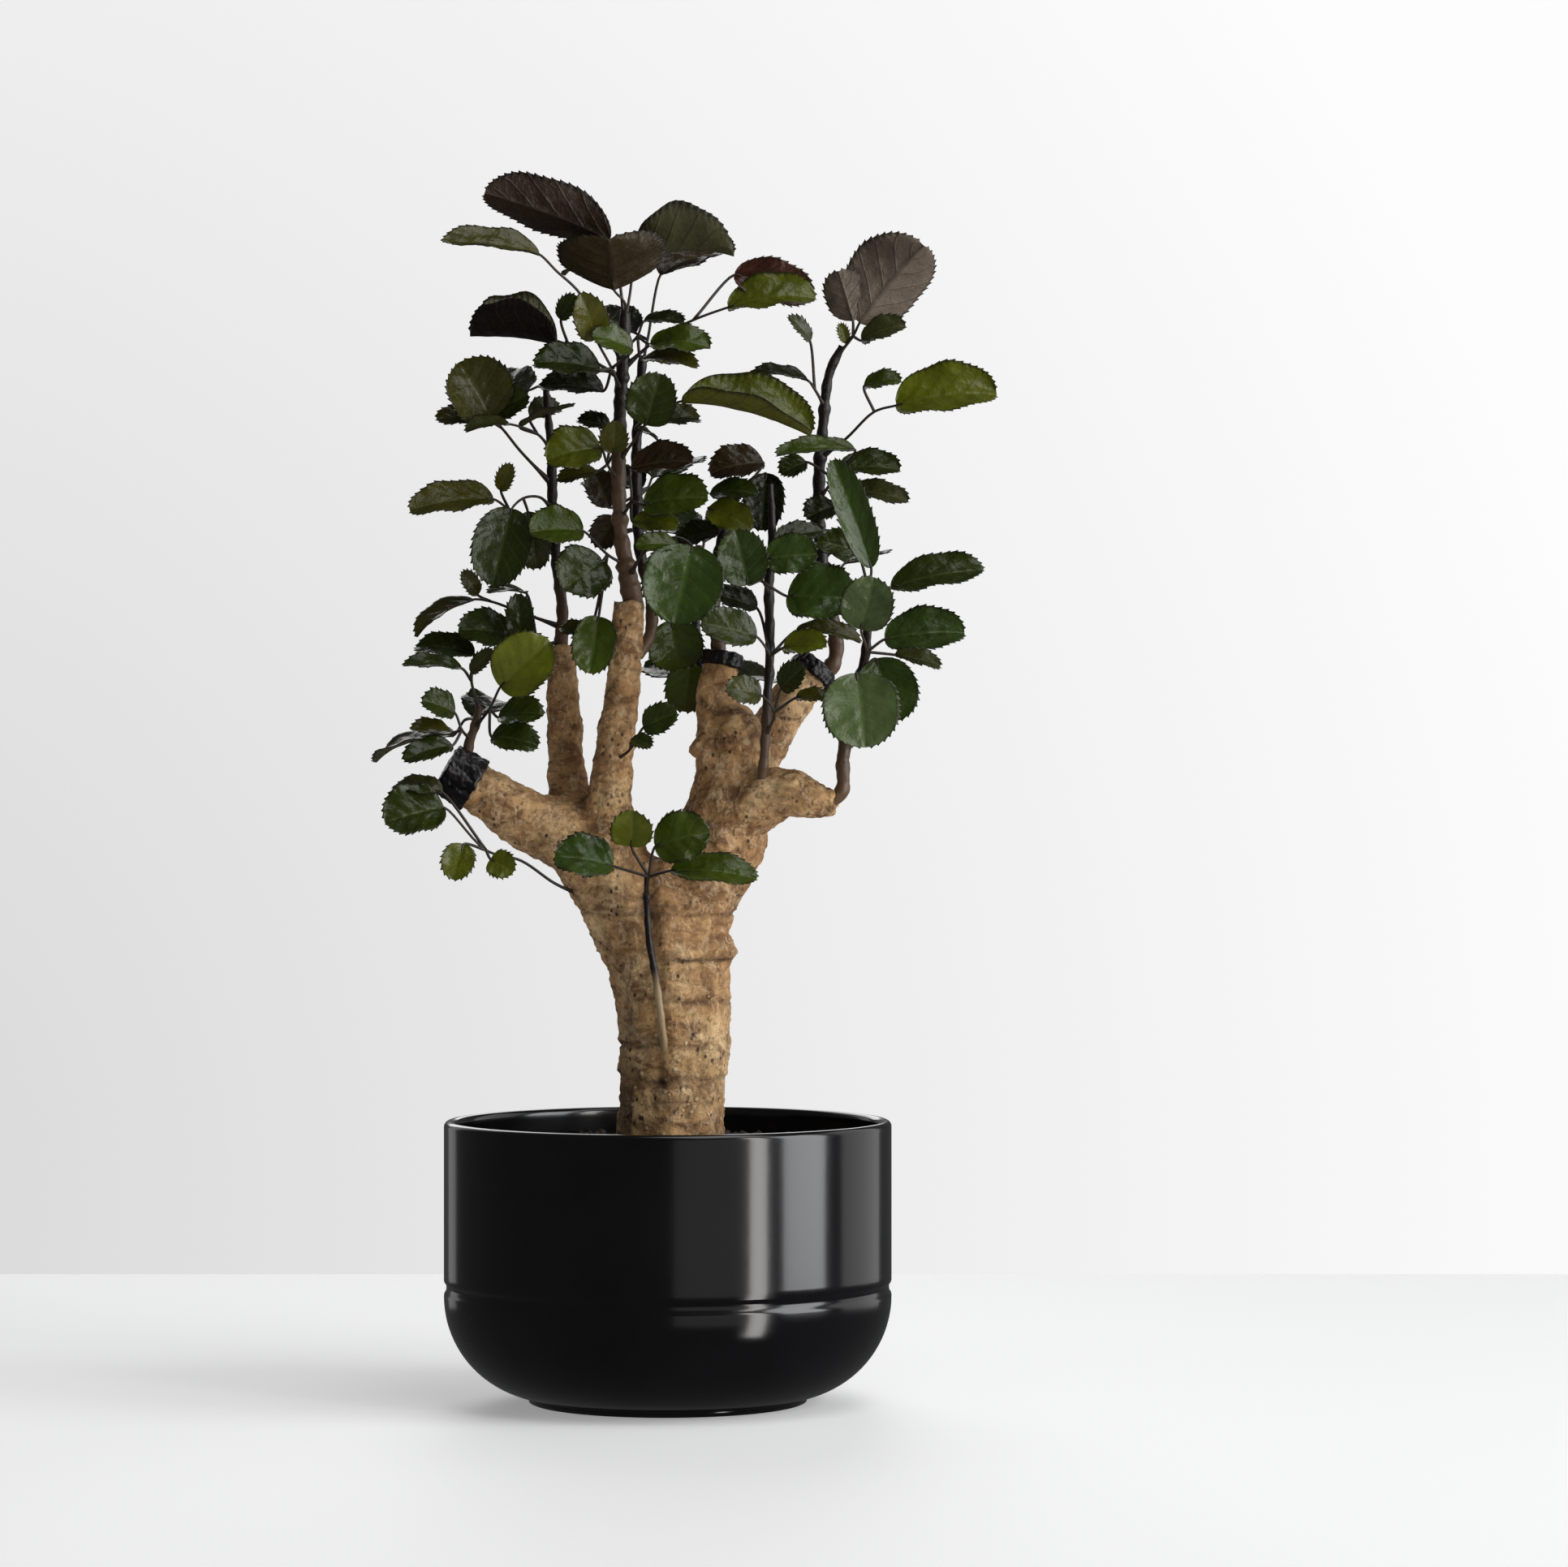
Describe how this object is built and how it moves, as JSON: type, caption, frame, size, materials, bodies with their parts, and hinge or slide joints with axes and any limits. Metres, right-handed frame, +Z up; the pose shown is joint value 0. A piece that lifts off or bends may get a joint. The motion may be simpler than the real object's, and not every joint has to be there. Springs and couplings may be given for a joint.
{
  "type": "potted bonsai tree",
  "caption": "Stout pruned tree stump with short sealed limbs and leafy young shoots, growing as a bonsai in a round black glazed planter with a rounded base.",
  "frame": {"origin": "centre of the planter's flat foot, on the surface it stands on", "axes": "+Z up along the planter's axis, the pictured front faces -Y, +X to the right of the front"},
  "size_m": [0.2952, 0.21, 0.5754],
  "materials": {
    "glaze": "black high-gloss glaze",
    "soil": "dark moist crumbly potting soil",
    "bark": "tan bark, rough, with dark specks and rings",
    "wax": "black pruning wax, slightly glossy",
    "stem": "dark purple-brown young bark, satin",
    "leaf": "waxy puckered leaf, deep green above, greyer or purplish below"
  },
  "bodies": {
    "root": {"leaf_back_1": "leaf", "leaf_back_2": "leaf", "leaf_centre_1": "leaf", "leaf_centre_10": "leaf", "leaf_centre_11": "leaf", "leaf_centre_12": "leaf", "leaf_centre_13": "leaf", "leaf_centre_2": "leaf", "leaf_centre_3": "leaf", "leaf_centre_4": "leaf", "leaf_centre_5": "leaf", "leaf_centre_6": "leaf", "leaf_centre_7": "leaf", "leaf_centre_8": "leaf", "leaf_centre_9": "leaf", "leaf_centre_back_1": "leaf", "leaf_centre_back_2": "leaf", "leaf_centre_back_3": "leaf", "leaf_far_left_1": "leaf", "leaf_far_left_2": "leaf", "leaf_far_left_3": "leaf", "leaf_far_left_4": "leaf", "leaf_far_right_1": "leaf", "leaf_far_right_2": "leaf", "leaf_far_right_3": "leaf", "leaf_front_low": "leaf", "leaf_front_right_1": "leaf", "leaf_front_right_2": "leaf", "leaf_front_right_3": "leaf", "leaf_left_1": "leaf", "leaf_left_2": "leaf", "leaf_left_3": "leaf", "leaf_left_4": "leaf", "leaf_left_5": "leaf", "leaf_left_6": "leaf", "leaf_left_7": "leaf", "leaf_low_left": "leaf", "leaf_middle_1": "leaf", "leaf_middle_front": "leaf", "leaf_right_1": "leaf", "leaf_right_2": "leaf", "leaf_right_3": "leaf", "leaf_right_4": "leaf", "leaf_right_5": "leaf", "planter_pot": "glaze", "potting_soil": "soil", "shoot_back": "stem", "shoot_centre": "stem", "shoot_centre_back": "stem", "shoot_far_left": "stem", "shoot_far_right": "stem", "shoot_front_low": "stem", "shoot_front_right": "stem", "shoot_left": "stem", "shoot_middle": "stem", "shoot_right": "stem", "trunk": "bark", "wax_cap_left": "wax", "wax_cap_middle": "wax", "wax_cap_right": "wax"}
  },
  "joints": []
}
